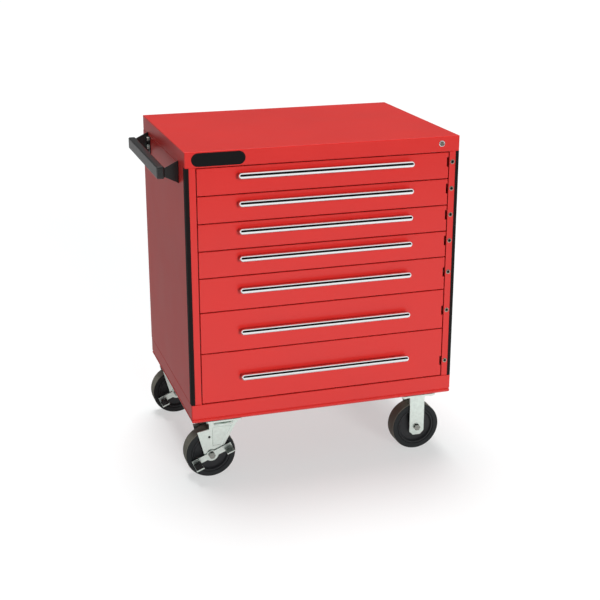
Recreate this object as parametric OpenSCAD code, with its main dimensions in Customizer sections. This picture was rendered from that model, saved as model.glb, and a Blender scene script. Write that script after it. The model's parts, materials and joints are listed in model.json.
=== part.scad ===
// Rolling tool cabinet in folded sheet steel: seven drawers on telescopic slides, a key lock,
// a push handle on the left side, two braked swivel casters and two rigid casters.
// Millimetres, +Z up, front towards -Y, origin on the floor under the middle of the outline.

/* [Cabinet] */
// Width across the side panels
cabinet_w = 864; // [720:1:1100]
// Depth from the rim's front to the back panel
cabinet_d = 641; // [530:1:800]
// Thickness of the folded sheet steel
sheet = 1.5; // [1:0.1:2]
// Height of the top cover's folded rim
rim_h = 48; // [44:1:70]
// Width of the lip folded in under the rim
rim_lip = 12; // [8:1:16]
// Height of the base
base_h = 62; // [40:1:90]
// Width of the lip folded in under the base
base_lip = 16; // [12:1:17]
// Radius of the base's lower edge
base_edge_r = 10; // [3:0.5:12]
// Radius of the top cover's upper edge
cover_edge_r = 3; // [2.5:0.5:6]
// Radius of the upright corners
corner_r = 5; // [3:0.5:8]
// Width of the flanges that join the panels
flange_w = 12; // [8:1:14]
// How far the posts and drawer fronts sit behind the rim
face_recess = 1.5; // [0:0.5:3]

/* [Posts] */
// Width of a front post's face
post_w = 20; // [18:1:30]
// Depth of a post's inner wall
post_depth = 62; // [50:1:90]
// Width of a corner bumper
bumper_w = 12; // [10:1:20]
// Depth of a corner bumper
bumper_d = 22; // [12:1:24]
// Depth of a rear upright's inner wall
upright_depth = 72; // [60:1:90]

/* [Drawers] */
// Pitch of each of the four upper drawers
upper_h = 84; // [80:1:120]
// Pitch of the fifth drawer
middle_h = 108; // [80:1:150]
// Pitch of the sixth drawer
deep_h = 132; // [90:1:180]
// Pitch of the bottom drawer
bottom_h = 163; // [120:1:240]
// Gap round each drawer front
front_gap = 3; // [2:0.5:5]
// Depth of the folded drawer front
front_depth = 16; // [12:0.5:20]
// Thickness of the tray's sheet
tray_t = 1.2; // [0.8:0.1:1.5]
// Height of the tray's floor above the front's lower edge
tray_lift = 4; // [2:0.5:8]
// Drop of the tray's rim below the front's upper edge
tray_drop = 12; // [8:1:16]
// Width of the flange folded out along the tray's rim
tray_flange = 6; // [3:0.5:8]
// Space behind the tray
tray_rear_space = 47; // [30:1:60]

/* [Slides] */
// Width of the space for one slide beside the tray
slide_space = 12.7; // [11:0.1:16]
// Height of a slide
slide_h = 45; // [35:1:50]
// Thickness of a slide's steel
slide_t = 1.5; // [1:0.1:1.8]
// Clearance between the members of a slide
slide_clear = 0.3; // [0.2:0.05:0.5]
// Distance from the rim's front to a slide
slide_front = 24.5; // [20:0.5:30]
// Distance from a slide to the back panel
slide_back = 55; // [40:1:58]
// Height of a slide's middle above the front's lower edge
slide_rise = 34; // [28:1:40]
// How much shorter each inner member is, at each end
slide_step = 5; // [2:1:10]

/* [Pulls] */
// Length of a pull
pull_l = 555; // [300:1:640]
// Radius of a pull's half-round bar
pull_r = 10.5; // [6:0.5:12]
// Finger gap behind a pull
pull_gap = 17.5; // [15:0.5:30]
// Distance between a pull's posts
pull_pitch = 480; // [200:1:540]
// Radius of a pull's posts
pull_post_r = 5; // [3.5:0.5:6]
// Radius of a pull's screws
pull_screw_r = 2.5; // [2:0.1:3]
// Pull's drop below the front's upper edge, four upper drawers
upper_pull_drop = 25; // [15:1:50]
// Pull's drop below the front's upper edge, fifth drawer
middle_pull_drop = 41; // [20:1:70]
// Pull's drop below the front's upper edge, sixth drawer
deep_pull_drop = 65; // [20:1:80]
// Pull's drop below the front's upper edge, bottom drawer
bottom_pull_drop = 81; // [20:1:100]

/* [Latches] */
// Radius of a ferrule's flange
ferrule_r = 7.5; // [6.5:0.1:8]
// Radius of a ferrule's body
ferrule_body_r = 6; // [5:0.1:6]
// Length of a ferrule behind the post's face
ferrule_l = 15; // [10:0.5:17]
// Thickness of a ferrule's flange
ferrule_t = 1.5; // [1:0.1:2]
// Radius of a latch button
button_r = 4.4; // [3:0.1:4.5]
// Width of the notch in the drawer front beside a button
notch_w = 5; // [3:0.5:8]
// Height of that notch
notch_h = 30; // [15:1:36]
// Latch's drop below the front's upper edge, four upper drawers
upper_latch_drop = 30; // [25:1:40]
// Latch's drop below the front's upper edge, fifth drawer
middle_latch_drop = 49; // [25:1:60]
// Latch's drop below the front's upper edge, sixth drawer
deep_latch_drop = 69; // [25:1:80]
// Latch's drop below the front's upper edge, bottom drawer
bottom_latch_drop = 110; // [25:1:130]

/* [Lock and plate] */
// Distance from the right side to the lock
lock_inset = 60; // [50:1:120]
// Drop of the lock below the cabinet's top
lock_drop = 22; // [18:0.5:24]
// Radius of the lock's bezel
bezel_r = 10; // [9:0.5:12]
// Thickness of the bezel
bezel_t = 2.5; // [1:0.5:4]
// Radius of the lock's body
lock_body_r = 8; // [7.5:0.1:8.5]
// Length of the lock's body behind the rim's front
lock_body_l = 28; // [25:1:40]
// Radius of the turning plug
plug_r = 6; // [5:0.1:6.5]
// Distance from the plug's axis to its crank pin
crank_r = 6; // [5:0.5:7]
// Radius of the crank pin
crank_pin_r = 2.5; // [2:0.1:3]
// Width of the lock bar
lock_bar_w = 14; // [10:1:15]
// Thickness of the lock bar
lock_bar_t = 3; // [2:0.5:4]
// Length of the name plate
plate_l = 162; // [80:1:240]
// Height of the name plate
plate_h = 40; // [20:1:42]
// Thickness of the name plate
plate_t = 2; // [1:0.5:4]
// Distance from the left side to the name plate
plate_inset = 20; // [10:1:100]

/* [Push handle] */
// Length of the grip
grip_l = 475; // [300:1:500]
// Width of the grip, seen from above
grip_w = 23; // [18:1:40]
// Height of the grip
grip_h = 37; // [30:1:50]
// Radius of the grip's long edges
grip_r = 5; // [2:0.5:8]
// Space between the grip and the side panel
grip_gap = 42.5; // [35:0.5:70]
// Drop of the grip's middle below the cabinet's top
grip_drop = 74; // [73:1:200]
// Thickness of the brackets
bracket_t = 3; // [2:0.5:5]
// Length of a bracket's flange on the side panel
bracket_flange = 40; // [30:1:60]
// Height of a bracket's flange above the grip's middle
bracket_up = 22; // [20:1:25]
// Height of a bracket's arm above the grip's middle, at the side panel
bracket_peak = 34; // [25:1:60]
// Depth of a bracket below the grip's middle
bracket_down = 34; // [20:1:60]
// Distance between a bracket's two bolts
bracket_bolt_pitch = 25; // [18:1:30]
// Distance from a bracket's arm to its bolts
bracket_bolt_inset = 15; // [12:1:22]
// Radius of the bracket bolts
bracket_bolt_r = 4; // [3:0.5:5]

/* [Casters] */
// Diameter of a wheel
wheel_d = 160; // [100:1:200]
// Width of a wheel's tread
wheel_w = 50; // [40:1:60]
// Radius of the tread's shoulders
tread_r = 8; // [4:0.5:12]
// Radius of a wheel's hub
hub_r = 22; // [16:1:26]
// Length of a wheel's hub
hub_w = 57; // [56.5:0.5:66]
// Radius of an axle
axle_r = 6.3; // [5:0.1:8]
// Space between a wheel and the crown above it
crown_gap = 20; // [15:1:30]
// Thickness of a swivel fork's crown
crown_t = 6; // [4:0.5:8]
// Height of the swivel bearing
bearing_h = 8; // [7.5:0.5:14]
// Radius of the swivel bearing
bearing_r = 36; // [28:1:40]
// Radius of the kingpin
kingpin_r = 7; // [5:0.5:9]
// Thickness of the caster plates
caster_plate_t = 6; // [4:0.5:8]
// Length of a caster plate, side to side
caster_plate_w = 114; // [110:1:130]
// Depth of a caster plate, front to back
caster_plate_d = 102; // [96:1:110]
// Bolt pitch of a caster plate, side to side
caster_bolt_w = 92; // [90:1:100]
// Bolt pitch of a caster plate, front to back
caster_bolt_d = 67; // [60:1:72]
// Radius of the caster bolts
caster_bolt_r = 5; // [4:0.5:5]
// Distance from a side panel to the middle of a caster plate
caster_inset_w = 104; // [90:1:140]
// Distance from the cabinet's front or back to the middle of a caster plate
caster_inset_d = 56; // [55:1:90]
// Trail of a swivel caster
trail = 40; // [20:1:45]
// Thickness of the fork legs
leg_t = 5; // [3:0.5:6]
// Width of a swivel fork at its crown
swivel_leg_w = 92; // [80:1:100]
// Reach of a swivel leg's shoulder from the kingpin
shoulder_reach = 84; // [60:1:90]
// Drop of that shoulder below the crown's upper face
shoulder_drop = 26; // [20:1:40]
// Rise of the shoulder's upper edge towards the crown
shoulder_rise = 6; // [0:0.5:12]
// Radius of the hole in a swivel leg
leg_hole_r = 4; // [2:0.5:6]
// Height of that hole above the axle
leg_hole_up = 60; // [40:1:65]
// Width of a rigid fork's legs
rigid_leg_w = 50; // [40:1:60]
// Radius of a fork leg's end
leg_end_r = 22; // [18:1:26]
// Width of the channels that carry the casters
channel_w = 130; // [124:1:150]
// Thickness of those channels
channel_t = 4; // [2:0.5:6]

/* [Brakes] */
// Reach of a pedal on the braking side of the axle
pedal_reach = 66; // [50:1:75]
// Reach of a pedal on the releasing side
release_reach = 70; // [50:1:75]
// Width of the pedal's arm
pedal_w = 20; // [16:1:26]
// Thickness of the pedal's steel
pedal_t = 4; // [3:0.5:5]
// Depth of the braking pad, front to back
pedal_pad_d = 40; // [25:1:44]
// Depth of the releasing pad, front to back
release_pad_d = 28; // [20:1:40]
// Length of the pads
pad_l = 26; // [18:1:30]
// Tilt of the pedal with the brake on
pedal_tilt = 22; // [0:1:30]

/* [Clearances] */
// Radial clearance of a turning or sliding fit
running_fit = 0.05; // [0.03:0.01:0.1]
// Clearance round a bolt, screw or bush that stays put
fixed_fit = 0.2; // [0.1:0.05:0.5]
// Clearance between faces that move past each other
face_clear = 0.3; // [0.2:0.05:0.5]
// Clearance of the crank pin in the lock bar's slot
slot_clear = 0.4; // [0.3:0.05:0.6]

/* [Hidden] */
$fn = 64;

painted_red = [0.76, 0.16, 0.13];
painted_black = [0.07, 0.07, 0.07];
rubber_black = [0.09, 0.09, 0.09];
zinc = [0.76, 0.78, 0.76];
chrome = [0.86, 0.87, 0.88];
wheel_grey = [0.19, 0.19, 0.19];

pitches = [upper_h, upper_h, upper_h, upper_h, middle_h, deep_h, bottom_h];
pull_drops = [
    upper_pull_drop, upper_pull_drop, upper_pull_drop, upper_pull_drop,
    middle_pull_drop, deep_pull_drop, bottom_pull_drop
];
latch_drops = [
    upper_latch_drop, upper_latch_drop, upper_latch_drop, upper_latch_drop,
    middle_latch_drop, deep_latch_drop, bottom_latch_drop
];
drawer_count = len(pitches);
drawers = [1 : drawer_count];

// Heights: casters, base, drawers and top cover stand on one another.
crown_z = wheel_d + crown_gap;
bearing_z = crown_z + crown_t;
caster_plate_z = bearing_z + bearing_h;
base_z = caster_plate_z + caster_plate_t;
deck_z = base_z + base_h;
function stack_h(n) = n == 0 ? 0 : stack_h(n - 1) + pitches[n - 1];
rim_z = deck_z + front_gap + stack_h(drawer_count);
top_z = rim_z + rim_h;
carcass_h = rim_z - deck_z;
lock_z = top_z - lock_drop;
plate_z = rim_z + rim_h / 2;
grip_z = top_z - grip_drop;

// Each drawer's levels, counted from one at the top.
function front_top(n) = rim_z - front_gap - stack_h(n - 1);
function front_bottom(n) = front_top(n) - pitches[n - 1] + front_gap;
function tray_bottom(n) = front_bottom(n) + tray_lift;
function tray_top(n) = front_top(n) - tray_drop;
function slide_z(n) = front_bottom(n) + slide_rise;
function pull_z(n) = front_top(n) - pull_drops[n - 1];
function latch_z(n) = front_top(n) - latch_drops[n - 1];
function hook_z(n) = tray_top(n) - lock_hook_h / 2;

// Widths, measured from the cabinet's middle.
half_w = cabinet_w / 2;
post_out = half_w - bumper_w;
post_in = post_out - post_w;
front_half = post_in - front_gap;
tray_half = post_in - slide_space;
latch_x = (post_out + post_in) / 2;
lock_x = half_w - lock_inset;
name_plate_x = plate_inset + plate_l / 2 - half_w;
grip_inner = half_w + grip_gap;
grip_outer = grip_inner + grip_w;
bracket_end = grip_l / 2 - 2;

// Depths, measured from the cabinet's middle, front negative.
rim_y = -cabinet_d / 2;
back_y = cabinet_d / 2;
back_inner = back_y - sheet;
face_y = rim_y + face_recess;
bumper_back = rim_y + bumper_d;
tray_front = face_y + front_depth;
tray_back = back_inner - tray_rear_space;
slide_y = rim_y + slide_front;
slide_l = back_inner - slide_back - slide_y;

// Slide members, measured inwards from the post's inner wall.
member_step = slide_t + slide_clear;
middle_reach = slide_space - slide_t - 2 * slide_clear;
outer_reach = middle_reach - slide_t;
inner_reach = slide_space - 2 * member_step;

// Lock: the crank pin swings a quarter turn, evenly about the level of the plug's axis.
crank_side = crank_r * cos(45);
crank_t = 3;
crank_rim = 1.5;
crank_y = rim_y + lock_body_l + face_clear;
lock_bar_y = crank_y + crank_t + face_clear;
lock_bar_x = post_in + sheet + face_clear;
lock_bar_lower = deck_z + 12;
lock_hook_h = 8;
lock_travel = 2 * crank_side;
slot_half_h = crank_pin_r + slot_clear;

// Latch buttons: a plunger with a collar that its ferrule holds back.
button_collar_t = 2;
button_stem_l = 5;
button_recess = 0.5;

// Casters, measured from a caster plate's middle.
caster_x = half_w - caster_inset_w;
caster_y = cabinet_d / 2 - caster_inset_d;
axle_z = wheel_d / 2;
leg_in = hub_w / 2 + face_clear;
leg_out = leg_in + leg_t;
pedal_y = leg_out + face_clear;
pedal_out = pedal_y + pedal_t;
axle_head_t = 8;
axle_head_r = 11;
caster_head_t = 6;
caster_nut_t = 8;

// The frame's origin lies under the middle of the outline, push handle and pulls included.
pull_reach = pull_gap + pull_r;
shift_x = (grip_outer - half_w) / 2;
shift_y = (pull_reach - face_recess) / 2;

single_nodes = [
    "base_frame", "caster_channels", "left_side_panel", "right_side_panel", "back_panel",
    "front_posts", "rear_uprights", "top_cover", "corner_bumpers", "name_plate",
    "lock_housing", "lock_plug", "lock_bar", "slide_channels", "latch_ferrules",
    "push_handle_brackets", "push_handle_grip", "push_handle_bolts",
    "swivel_plates", "front_swivel_fork", "rear_swivel_fork",
    "front_swivel_axle", "rear_swivel_axle", "front_brake_pedal", "rear_brake_pedal",
    "rigid_forks", "rigid_axles", "caster_bolts",
    "front_left_wheel", "rear_left_wheel", "front_right_wheel", "rear_right_wheel"
];

// Moves a piece from the cabinet's middle lines to the frame.
module in_frame() {
    translate([shift_x, shift_y, 0]) children();
}

// A piece and its mirror image on the other side.
module both_sides() {
    children();
    mirror([1, 0, 0]) children();
}

// A piece and its mirror image at the other end, front to back.
module both_ends() {
    children();
    mirror([0, 1, 0]) children();
}

// A box between two corners.
module box(low, high) {
    translate(low) cube(high - low);
}

// A rectangle with round corners, about its middle.
module soft_rect(w, h, r) {
    square([w - 2 * r, h], center = true);
    square([w, h - 2 * r], center = true);
    for (x = [-1, 1], y = [-1, 1])
        translate([x * (w / 2 - r), y * (h / 2 - r)]) circle(r);
}

// A rectangle on its lower edge's middle, with the two lower corners round.
module soft_foot(w, h, r) {
    translate([-w / 2, r]) square([w, h - r]);
    translate([r - w / 2, 0]) square([w - 2 * r, h]);
    for (x = [-1, 1]) translate([x * (w / 2 - r), r]) circle(r);
}

// A block with round upright corners and a round lower edge.
module soft_block(w, d, h, r, edge_r) {
    intersection() {
        linear_extrude(h) soft_rect(w, d, r);
        translate([0, d / 2, 0]) rotate([90, 0, 0]) linear_extrude(d) soft_foot(w, h, edge_r);
        translate([-w / 2, 0, 0]) rotate([90, 0, 90]) linear_extrude(w) soft_foot(d, h, edge_r);
    }
}

// The hollow inside a folded pan of the cabinet's outline.
module pan_hollow(h, edge_r) {
    translate([0, 0, sheet])
        soft_block(
            cabinet_w - 2 * sheet, cabinet_d - 2 * sheet, h - 2 * sheet,
            corner_r - sheet, edge_r - sheet
        );
}

// The opening that the lips round a pan's lower face leave.
module lip_opening(lip, z) {
    box([lip - half_w, rim_y + lip, z - sheet], [half_w - lip, back_y - lip, z + 2 * sheet]);
}

// A channel section: its web starts at a distance, and its flanges reach to another.
module channel_section(start, reach, half_h, t) {
    translate([start, -half_h]) square([t, 2 * half_h]);
    for (v = [-half_h, half_h - t]) translate([start, v]) square([reach - start, t]);
}

// A right-hand slide member: its section is measured inwards from the post's inner wall.
module slide_member(step, z) {
    translate([post_in, slide_y + slide_l - step, z])
        rotate([90, 0, 0]) linear_extrude(slide_l - 2 * step) mirror([1, 0]) children();
}

// Turns a piece that stands along +Z to lie along +Y, at a point.
module along_y(x, y, z) {
    translate([x, y, z]) rotate([-90, 0, 0]) children();
}

// A hexagonal bolt along +Z from its head's underside, with a nut beyond the length that it grips.
module bolt(r, grips, head_r, head_t, nut_t) {
    translate([0, 0, -head_t]) cylinder(r = head_r, h = head_t, $fn = 6);
    cylinder(r = r, h = grips + nut_t);
    translate([0, 0, grips]) cylinder(r = head_r, h = nut_t, $fn = 6);
}

module base_frame() {
    color(painted_red) in_frame() difference() {
        translate([0, 0, base_z]) soft_block(cabinet_w, cabinet_d, base_h, corner_r, base_edge_r);
        translate([0, 0, base_z]) pan_hollow(base_h, base_edge_r);
        lip_opening(base_lip, base_z);
    }
}

// Upturned channels between the base's lips, which take the caster bolts.
module caster_channels() {
    inner_half = channel_w / 2 - channel_t;
    color(painted_red) in_frame() both_sides() difference() {
        box(
            [caster_x - channel_w / 2, rim_y + base_lip, base_z],
            [caster_x + channel_w / 2, back_y - base_lip, deck_z - sheet]
        );
        box([caster_x - inner_half, rim_y, base_z + channel_t], [caster_x + inner_half, back_y, deck_z]);
        at_right_casters() at_caster_bolts(base_z - channel_t)
            cylinder(r = caster_bolt_r + fixed_fit, h = 3 * channel_t);
    }
}

// The right side panel: a sheet with flanges along its floor, top and rear edges.
module side_panel() {
    box([half_w - sheet, bumper_back, deck_z], [half_w, back_y, rim_z]);
    for (z = [deck_z, rim_z - sheet])
        box([half_w - flange_w, bumper_back + sheet, z], [half_w, back_inner, z + sheet]);
    box([half_w - flange_w, back_inner - sheet, deck_z], [half_w, back_inner, rim_z]);
}

module left_side_panel() {
    color(painted_red) in_frame() difference() {
        mirror([1, 0, 0]) side_panel();
        at_handle_bolts() cylinder(r = bracket_bolt_r + fixed_fit, h = 4 * bracket_t);
    }
}

module right_side_panel() {
    color(painted_red) in_frame() side_panel();
}

module back_panel() {
    color(painted_red) in_frame()
        box([sheet - half_w, back_inner, deck_z], [half_w - sheet, back_y, rim_z]);
}

// The right post: a face, a rebate for the corner bumper and an inner wall that carries the slides.
module post() {
    wall_back = face_y + post_depth;
    box([post_in, face_y, deck_z], [post_out, face_y + sheet, rim_z]);
    box([post_out - sheet, face_y, deck_z], [post_out, bumper_back + sheet, rim_z]);
    box([post_out - sheet, bumper_back, deck_z], [half_w - sheet, bumper_back + sheet, rim_z]);
    box([post_in, face_y, deck_z], [post_in + sheet, wall_back, rim_z]);
    box([post_in, wall_back - sheet, deck_z], [post_in + flange_w, wall_back, rim_z]);
}

module front_posts() {
    hook_room = lock_hook_h / 2 + slot_clear;
    slot_front = lock_bar_y - slot_clear;
    slot_back = lock_bar_y + lock_bar_t + slot_clear;
    color(painted_red) in_frame() {
        mirror([1, 0, 0]) post();
        difference() {
            post();
            for (n = drawers) {
                along_y(latch_x, face_y - sheet, latch_z(n))
                    cylinder(r = ferrule_body_r + fixed_fit, h = 3 * sheet);
                box(
                    [post_in - sheet, slot_front, hook_z(n) - hook_room],
                    [post_in + 2 * sheet, slot_back, hook_z(n) + hook_room + lock_travel]
                );
            }
        }
    }
}

// Angles on the back panel that carry the rear ends of the slides.
module rear_uprights() {
    front_y = back_inner - upright_depth;
    color(painted_red) in_frame() both_sides() {
        box([post_in, front_y, deck_z], [post_in + sheet, back_inner, rim_z]);
        for (y = [front_y, back_inner - sheet])
            box([post_in, y, deck_z], [post_in + flange_w, y + sheet, rim_z]);
    }
}

// A cap whose rim wraps the front, sides and back, with a lip folded in below.
module top_cover() {
    color(painted_red) in_frame() difference() {
        translate([0, 0, top_z]) mirror([0, 0, 1])
            soft_block(cabinet_w, cabinet_d, rim_h, corner_r, cover_edge_r);
        translate([0, 0, top_z]) mirror([0, 0, 1]) pan_hollow(rim_h, cover_edge_r);
        lip_opening(rim_lip, rim_z);
        along_y(lock_x, rim_y - sheet, lock_z) cylinder(r = lock_body_r + fixed_fit, h = 3 * sheet);
    }
}

// Rubber strips that fill the front corners between the base and the rim.
module corner_bumpers() {
    color(rubber_black) in_frame() both_sides() translate([0, 0, deck_z]) linear_extrude(carcass_h) {
        translate([post_out, rim_y + corner_r]) square([bumper_w, bumper_d - corner_r]);
        translate([post_out, rim_y]) square([bumper_w - corner_r, bumper_d]);
        translate([half_w - corner_r, rim_y + corner_r]) circle(corner_r);
    }
}

// A plain plate with round ends on the front of the rim.
module name_plate() {
    straight = plate_l - plate_h;
    color(rubber_black) in_frame()
        translate([name_plate_x, rim_y, plate_z]) rotate([90, 0, 0]) linear_extrude(plate_t) {
            square([straight, plate_h], center = true);
            for (x = [-1, 1]) translate([x * straight / 2, 0]) circle(plate_h / 2);
        }
}

// The lock's fixed sleeve, with the nut that clamps it behind the rim.
module lock_housing() {
    nut_r = lock_body_r + 4;
    nut_t = 5;
    color(chrome) in_frame() along_y(lock_x, rim_y, lock_z) difference() {
        union() {
            translate([0, 0, -bezel_t]) cylinder(r = bezel_r, h = bezel_t);
            cylinder(r = lock_body_r, h = lock_body_l);
            translate([0, 0, sheet]) cylinder(r = nut_r, h = nut_t, $fn = 6);
        }
        translate([0, 0, -2 * bezel_t]) cylinder(r = plug_r + running_fit, h = 2 * lock_body_l);
    }
}

// The plug that the key turns, with a keyway in front and a crank behind.
module lock_plug() {
    front = face_clear - bezel_t;
    crank = lock_body_l + face_clear;
    keyway_w = 1.6;
    keyway_h = 7;
    keyway_d = 4;
    color(chrome) in_frame() along_y(lock_x, rim_y, lock_z) {
        difference() {
            translate([0, 0, front]) cylinder(r = plug_r, h = crank + crank_t / 2 - front);
            translate([0, 0, front]) cube([keyway_w, keyway_h, 2 * keyway_d], center = true);
        }
        translate([0, 0, crank]) cylinder(r = crank_r + crank_pin_r + crank_rim, h = crank_t);
        translate([-crank_side, crank_side, crank])
            cylinder(r = crank_pin_r, h = crank_t + 2 * face_clear + lock_bar_t);
    }
}

// A flat bar down the right post: the crank pin lifts its slotted head, and its hooks face the drawers.
module lock_bar() {
    head_half_h = 8;
    head_left = lock_x - crank_r - slot_half_h - crank_pin_r;
    pin_z = lock_z - crank_side;
    bar_right = lock_bar_x + lock_bar_w;
    bar_back = lock_bar_y + lock_bar_t;
    color(zinc) in_frame() difference() {
        union() {
            box([lock_bar_x, lock_bar_y, lock_bar_lower], [bar_right, bar_back, pin_z]);
            box([head_left, lock_bar_y, pin_z - head_half_h], [bar_right, bar_back, pin_z + head_half_h]);
            for (n = drawers)
                box(
                    [post_in + face_clear, lock_bar_y, hook_z(n) - lock_hook_h / 2],
                    [bar_right, bar_back, hook_z(n) + lock_hook_h / 2]
                );
        }
        box(
            [lock_x - crank_r - slot_half_h, lock_bar_y - lock_bar_t, pin_z - slot_half_h],
            [lock_x - crank_side + slot_half_h, bar_back + lock_bar_t, pin_z + slot_half_h]
        );
    }
}

// The slide members fixed to the posts and uprights, one pair a drawer.
module slide_channels() {
    color(zinc) in_frame() both_sides() for (n = drawers)
        slide_member(0, slide_z(n)) channel_section(0, outer_reach, slide_h / 2, slide_t);
}

// The pair of middle slide members of one drawer.
module drawer_slides(n) {
    color(zinc) in_frame() both_sides()
        slide_member(slide_step, slide_z(n))
            channel_section(member_step, middle_reach, slide_h / 2 - member_step, slide_t);
}

// A drawer: folded front, tray with flanged rim, and the inner slide members welded to its sides.
module drawer(n) {
    color(painted_red) in_frame() difference() {
        union() {
            drawer_front(front_bottom(n), front_top(n));
            drawer_tray(tray_bottom(n), tray_top(n));
            both_sides()
                slide_member(2 * slide_step, slide_z(n))
                    translate([slide_space, 0]) mirror([1, 0])
                        channel_section(0, inner_reach, slide_h / 2 - 2 * member_step, slide_t);
        }
        for (x = [-1, 1])
            along_y(x * pull_pitch / 2, face_y - sheet, pull_z(n))
                cylinder(r = pull_screw_r + fixed_fit, h = 3 * sheet);
        box(
            [front_half - notch_w, face_y - sheet, latch_z(n) - notch_h / 2],
            [front_half + sheet, tray_front + sheet, latch_z(n) + notch_h / 2]
        );
    }
}

module drawer_front(low, high) {
    inner_half = front_half - sheet;
    difference() {
        box([-front_half, face_y, low], [front_half, tray_front, high]);
        box([-inner_half, face_y + sheet, low + sheet], [inner_half, tray_front + sheet, high - sheet]);
    }
}

// The tray runs up to the back of the drawer's face; its own front wall makes the front double.
module drawer_tray(low, high) {
    inner_half = tray_half - tray_t;
    difference() {
        box([-tray_half, face_y + sheet / 2, low], [tray_half, tray_back, high]);
        box([-inner_half, face_y + sheet, low + tray_t], [inner_half, tray_front, high + sheet]);
        box([-inner_half, tray_front + tray_t, low + tray_t], [inner_half, tray_back - tray_t, high + sheet]);
    }
    both_sides()
        box([inner_half, tray_front, high - tray_t], [tray_half + tray_flange, tray_back, high]);
}

// A half-round bar with round ends on two posts, held by screws behind the drawer's face.
module drawer_pull(n) {
    screw_head_t = 3;
    straight = pull_l - 2 * pull_r;
    color(chrome) in_frame() translate([0, face_y, pull_z(n)]) {
        intersection() {
            translate([0, -pull_gap, 0]) {
                rotate([0, 90, 0]) cylinder(r = pull_r, h = straight, center = true);
                for (x = [-1, 1]) translate([x * straight / 2, 0, 0]) sphere(pull_r);
            }
            box([-pull_l, -2 * pull_reach, -2 * pull_r], [pull_l, -pull_gap, 2 * pull_r]);
        }
        for (x = [-1, 1]) translate([x * pull_pitch / 2, 0, 0]) {
            rotate([90, 0, 0]) cylinder(r = pull_post_r, h = pull_gap + pull_r / 2);
            rotate([-90, 0, 0]) cylinder(r = pull_screw_r, h = sheet + screw_head_t);
            translate([0, sheet, 0]) rotate([-90, 0, 0]) cylinder(r = 2 * pull_screw_r, h = screw_head_t);
        }
    }
}

// Bushes in the right post, one beside each drawer.
module latch_ferrules() {
    color(chrome) in_frame() for (n = drawers) along_y(latch_x, face_y, latch_z(n)) difference() {
        union() {
            translate([0, 0, -ferrule_t]) cylinder(r = ferrule_r, h = ferrule_t);
            cylinder(r = ferrule_body_r, h = ferrule_l);
        }
        translate([0, 0, -2 * ferrule_t]) cylinder(r = button_r + running_fit, h = 2 * ferrule_l);
    }
}

module latch_button(n) {
    front = button_recess - ferrule_t;
    collar = ferrule_l + face_clear;
    color(rubber_black) in_frame() along_y(latch_x, face_y, latch_z(n)) {
        translate([0, 0, front]) cylinder(r = button_r, h = collar - front);
        translate([0, 0, collar]) cylinder(r = ferrule_body_r, h = button_collar_t);
        translate([0, 0, collar]) cylinder(r = button_r / 2, h = button_collar_t + button_stem_l);
    }
}

// The push handle's bolt places on the left side panel, along the bolts from outside.
module at_handle_bolts() {
    for (y = [-1, 1], z = [-1, 1])
        translate([
            -half_w - bracket_t,
            y * (bracket_end - bracket_t - bracket_bolt_inset),
            grip_z + z * bracket_bolt_pitch / 2
        ])
            rotate([0, 90, 0]) children();
}

// Folded brackets: a flange on the side panel, an arm, and a flange behind the grip.
module push_handle_brackets() {
    grip_seat = grip_h / 2 - grip_r;
    arm = [
        [half_w, -bracket_down], [grip_inner, -grip_seat],
        [grip_inner, grip_seat], [half_w, bracket_peak]
    ];
    color(painted_black) in_frame() difference() {
        mirror([1, 0, 0]) both_ends() {
            box(
                [half_w, bracket_end - bracket_flange, grip_z - bracket_down],
                [half_w + bracket_t, bracket_end, grip_z + bracket_up]
            );
            translate([0, bracket_end, grip_z]) rotate([90, 0, 0]) linear_extrude(bracket_t) polygon(arm);
            box(
                [grip_inner - bracket_t, bracket_end - bracket_flange, grip_z - grip_seat],
                [grip_inner, bracket_end, grip_z + grip_seat]
            );
        }
        at_handle_bolts()
            translate([0, 0, -bracket_t]) cylinder(r = bracket_bolt_r + fixed_fit, h = 3 * bracket_t);
    }
}

module push_handle_grip() {
    color(rubber_black) in_frame()
        translate([-grip_inner - grip_w / 2, grip_l / 2, grip_z])
            rotate([90, 0, 0]) linear_extrude(grip_l) soft_rect(grip_w, grip_h, grip_r);
}

module push_handle_bolts() {
    head_t = 5;
    nut_t = 6;
    color(zinc) in_frame()
        at_handle_bolts() bolt(bracket_bolt_r, bracket_t + sheet, 1.9 * bracket_bolt_r, head_t, nut_t);
}

// The right-hand caster plates' middles.
module at_right_casters() {
    both_ends() translate([caster_x, -caster_y, 0]) children();
}

// A caster plate's bolt places, at a height.
module at_caster_bolts(z) {
    for (x = [-1, 1], y = [-1, 1])
        translate([x * caster_bolt_w / 2, y * caster_bolt_d / 2, z]) children();
}

// The left-hand caster plates' middles: one at the front for -1, one at the rear for 1.
module at_left_caster(end) {
    translate([-caster_x, end * caster_y, 0]) children();
}

module caster_plate() {
    plate_r = 8;
    difference() {
        translate([0, 0, caster_plate_z])
            linear_extrude(caster_plate_t) soft_rect(caster_plate_w, caster_plate_d, plate_r);
        at_caster_bolts(caster_plate_z - caster_plate_t)
            cylinder(r = caster_bolt_r + fixed_fit, h = 3 * caster_plate_t);
    }
}

// Swivel plates with the upper bearing race, the kingpin and its nut.
module swivel_plates() {
    nut_t = 8;
    nut_z = crown_z - face_clear - nut_t;
    color(zinc) in_frame() for (end = [-1, 1]) at_left_caster(end) {
        caster_plate();
        translate([0, 0, bearing_z + face_clear]) cylinder(r = bearing_r, h = bearing_h - face_clear);
        translate([0, 0, nut_z]) cylinder(r = kingpin_r, h = caster_plate_z - nut_z);
        translate([0, 0, nut_z]) cylinder(r = 1.8 * kingpin_r, h = nut_t, $fn = 6);
    }
}

// Where a line from a point touches a circle, on the side that the sign picks.
function touch_point(p, c, r, side) =
    let (d = p - c, a = atan2(d.y, d.x) + side * acos(r / norm(d)))
    c + r * [cos(a), sin(a)];

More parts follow.
